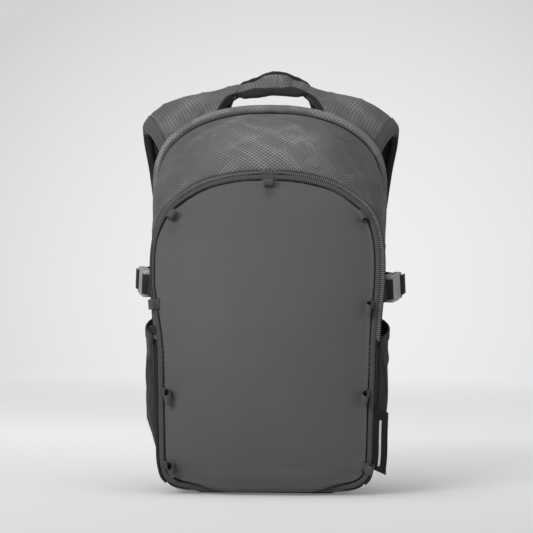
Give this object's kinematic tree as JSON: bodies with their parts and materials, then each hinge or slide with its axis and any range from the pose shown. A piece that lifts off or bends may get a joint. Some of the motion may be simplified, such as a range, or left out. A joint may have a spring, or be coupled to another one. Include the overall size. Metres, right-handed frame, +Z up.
{
  "type": "daypack",
  "caption": "Upright panel-loading daypack: arched zip flap edged with lash loops, mesh side pockets, buckled compression straps and a padded yoke harness with grab handle",
  "frame": {"origin": "middle of the flat base that the pack stands on", "axes": "+Z up; -Y towards the front flap, +Y towards the wearer's back; +X to the right as seen from the front"},
  "size_m": [0.3279, 0.2401, 0.5211],
  "materials": {
    "coated_fabric": "smooth coated woven polyester, low sheen",
    "ripstop": "diamond rip-stop nylon, slight sheen",
    "lining": "plain woven lining",
    "stretch_mesh": "stretch knit mesh, matt",
    "binding": "folded woven binding tape",
    "webbing": "ribbed nylon webbing",
    "loop_webbing": "ribbed narrow webbing",
    "zip_coil": "moulded nylon coil on woven tape",
    "zip_metal": "painted die-cast zip slider",
    "buckle_plastic": "moulded acetal, fine matt texture",
    "air_mesh": "spacer mesh over foam",
    "frame_sheet": "thin polyethylene sheet",
    "tab_fabric": "woven tape with a plain pale stripe"
  },
  "bodies": {
    "pack": {"left_side_panel": "ripstop", "right_side_panel": "ripstop", "top_panel": "ripstop", "bottom_panel": "lining", "front_lower_panel": "coated_fabric", "zipper_chain": "zip_coil", "front_piping": "binding", "top_roll": "ripstop", "back_panel": "air_mesh", "frame_sheet": "frame_sheet", "back_pad_left": "air_mesh", "back_pad_right": "air_mesh", "inner_sleeve": "lining", "loop_lower_left": "loop_webbing", "loop_lower_right": "loop_webbing", "loop_bottom_left": "loop_webbing", "loop_bottom_right": "loop_webbing", "left_mesh_pocket": "stretch_mesh", "right_mesh_pocket": "stretch_mesh", "left_pocket_binding": "binding", "right_pocket_binding": "binding", "left_buckle_socket": "buckle_plastic", "right_buckle_socket": "buckle_plastic", "left_strap_front": "webbing", "right_strap_front": "webbing", "left_strap_rear": "webbing", "right_strap_rear": "webbing", "left_yoke": "ripstop", "right_yoke": "ripstop", "grab_handle": "ripstop", "left_lower_webbing": "webbing", "right_lower_webbing": "webbing", "side_tab": "tab_fabric"},
    "flap": {"front_flap": "coated_fabric", "flap_binding": "binding", "loop_top_center": "loop_webbing", "loop_upper_left": "loop_webbing", "loop_upper_right": "loop_webbing", "loop_mid_left": "loop_webbing", "loop_mid_right": "loop_webbing"},
    "slider": {"zip_slider": "zip_metal"},
    "pull": {"zip_pull": "webbing"},
    "left_plug": {"left_buckle_plug": "buckle_plastic"},
    "left_plug_arm_a": {"left_buckle_arm_a": "buckle_plastic"},
    "left_plug_arm_b": {"left_buckle_arm_b": "buckle_plastic"},
    "right_plug": {"right_buckle_plug": "buckle_plastic"},
    "right_plug_arm_a": {"right_buckle_arm_a": "buckle_plastic"},
    "right_plug_arm_b": {"right_buckle_arm_b": "buckle_plastic"},
    "left_strap": {"left_shoulder_strap": "ripstop"},
    "right_strap": {"right_shoulder_strap": "ripstop"},
    "left_adjuster": {"left_ladder_lock": "buckle_plastic"},
    "right_adjuster": {"right_ladder_lock": "buckle_plastic"},
    "sternum_left": {"sternum_clip_left": "buckle_plastic", "sternum_webbing_left": "webbing"},
    "sternum_right": {"sternum_clip_right": "buckle_plastic", "sternum_webbing_right": "webbing", "sternum_socket": "buckle_plastic"},
    "sternum_latch": {"sternum_plug": "buckle_plastic"},
    "sternum_latch_arm_a": {"sternum_arm_a": "buckle_plastic"},
    "sternum_latch_arm_b": {"sternum_arm_b": "buckle_plastic"}
  },
  "joints": [
    {"name": "flap_fold", "type": "hinge", "parent": "pack", "child": "flap", "pos_m": [0, -0.1035, 0.182], "axis": [1, 0, 0], "range_deg": [0, 135]},
    {"name": "zip_slider_run", "type": "slide", "parent": "pack", "child": "slider", "axis": [-0.0746, 0.1315, 0.9885], "range_m": [0, 0.06]},
    {"name": "zip_pull_lift", "type": "hinge", "parent": "slider", "child": "pull", "pos_m": [-0.14121, -0.08209, 0.19181], "axis": [-0.3655, 0.9187, -0.1497], "range_deg": [0, 100]},
    {"name": "left_buckle_pull", "type": "slide", "parent": "pack", "child": "left_plug", "axis": [-0.2516, 0.956, 0.1509], "range_m": [0, 0.016], "deforming": ["left_strap_rear"]},
    {"name": "left_buckle_press_a", "type": "hinge", "parent": "left_plug", "child": "left_plug_arm_a", "pos_m": [-0.15135, -0.0196, 0.26469], "axis": [0.9671, 0.2545, 0], "range_deg": [0, 4.5], "stiffness_Nm_per_rad": 0.02},
    {"name": "left_buckle_press_b", "type": "hinge", "parent": "left_plug", "child": "left_plug_arm_b", "pos_m": [-0.15215, -0.01657, 0.24413], "axis": [-0.9671, -0.2545, 0], "range_deg": [0, 4.5], "stiffness_Nm_per_rad": 0.02},
    {"name": "right_buckle_pull", "type": "slide", "parent": "pack", "child": "right_plug", "axis": [0.3603, 0.9207, 0.1501], "range_m": [0, 0.016], "deforming": ["right_strap_rear"]},
    {"name": "right_buckle_press_a", "type": "hinge", "parent": "right_plug", "child": "right_plug_arm_a", "pos_m": [0.15549, -0.01766, 0.2401], "axis": [-0.9312, 0.3644, 0], "range_deg": [0, 4.5], "stiffness_Nm_per_rad": 0.02},
    {"name": "right_buckle_press_b", "type": "hinge", "parent": "right_plug", "child": "right_plug_arm_b", "pos_m": [0.15435, -0.02057, 0.26066], "axis": [0.9312, -0.3644, 0], "range_deg": [0, 4.5], "stiffness_Nm_per_rad": 0.02},
    {"name": "left_strap_swing", "type": "hinge", "parent": "pack", "child": "left_strap", "pos_m": [-0.105, 0.122, 0.441], "axis": [1, 0, 0], "range_deg": [0, 30], "deforming": ["left_lower_webbing"]},
    {"name": "right_strap_swing", "type": "hinge", "parent": "pack", "child": "right_strap", "pos_m": [0.105, 0.122, 0.441], "axis": [1, 0, 0], "range_deg": [0, 30], "deforming": ["right_lower_webbing"]},
    {"name": "left_adjuster_tilt", "type": "hinge", "parent": "left_strap", "child": "left_adjuster", "pos_m": [-0.111, 0.086, 0.1625], "axis": [1, 0, 0], "range_deg": [-21, 21]},
    {"name": "right_adjuster_tilt", "type": "hinge", "parent": "right_strap", "child": "right_adjuster", "pos_m": [0.111, 0.086, 0.1625], "axis": [1, 0, 0], "range_deg": [-21, 21]},
    {"name": "sternum_rail_right", "type": "slide", "parent": "right_strap", "child": "sternum_right", "axis": [0, 0.1, 0.995], "range_m": [-0.025, 0.025]},
    {"name": "sternum_rail_left", "type": "slide", "parent": "left_strap", "child": "sternum_left", "axis": [0, 0.1, 0.995], "range_m": [-0.025, 0.025]},
    {"name": "sternum_buckle_pull", "type": "slide", "parent": "sternum_left", "child": "sternum_latch", "axis": [-1, 0, 0], "range_m": [0, 0.012], "deforming": ["sternum_webbing_left"]},
    {"name": "sternum_press_a", "type": "hinge", "parent": "sternum_latch", "child": "sternum_latch_arm_a", "pos_m": [-0.00519, 0.133, 0.3221], "axis": [0, -1, 0], "range_deg": [0, 4.5], "stiffness_Nm_per_rad": 0.01},
    {"name": "sternum_press_b", "type": "hinge", "parent": "sternum_latch", "child": "sternum_latch_arm_b", "pos_m": [-0.00519, 0.133, 0.3379], "axis": [0, 1, 0], "range_deg": [0, 4.5], "stiffness_Nm_per_rad": 0.01}
  ],
  "couplings": [
    {"joint": "right_strap_swing", "follows": "left_strap_swing", "ratio": 1},
    {"joint": "sternum_rail_left", "follows": "sternum_rail_right", "ratio": 1}
  ]
}
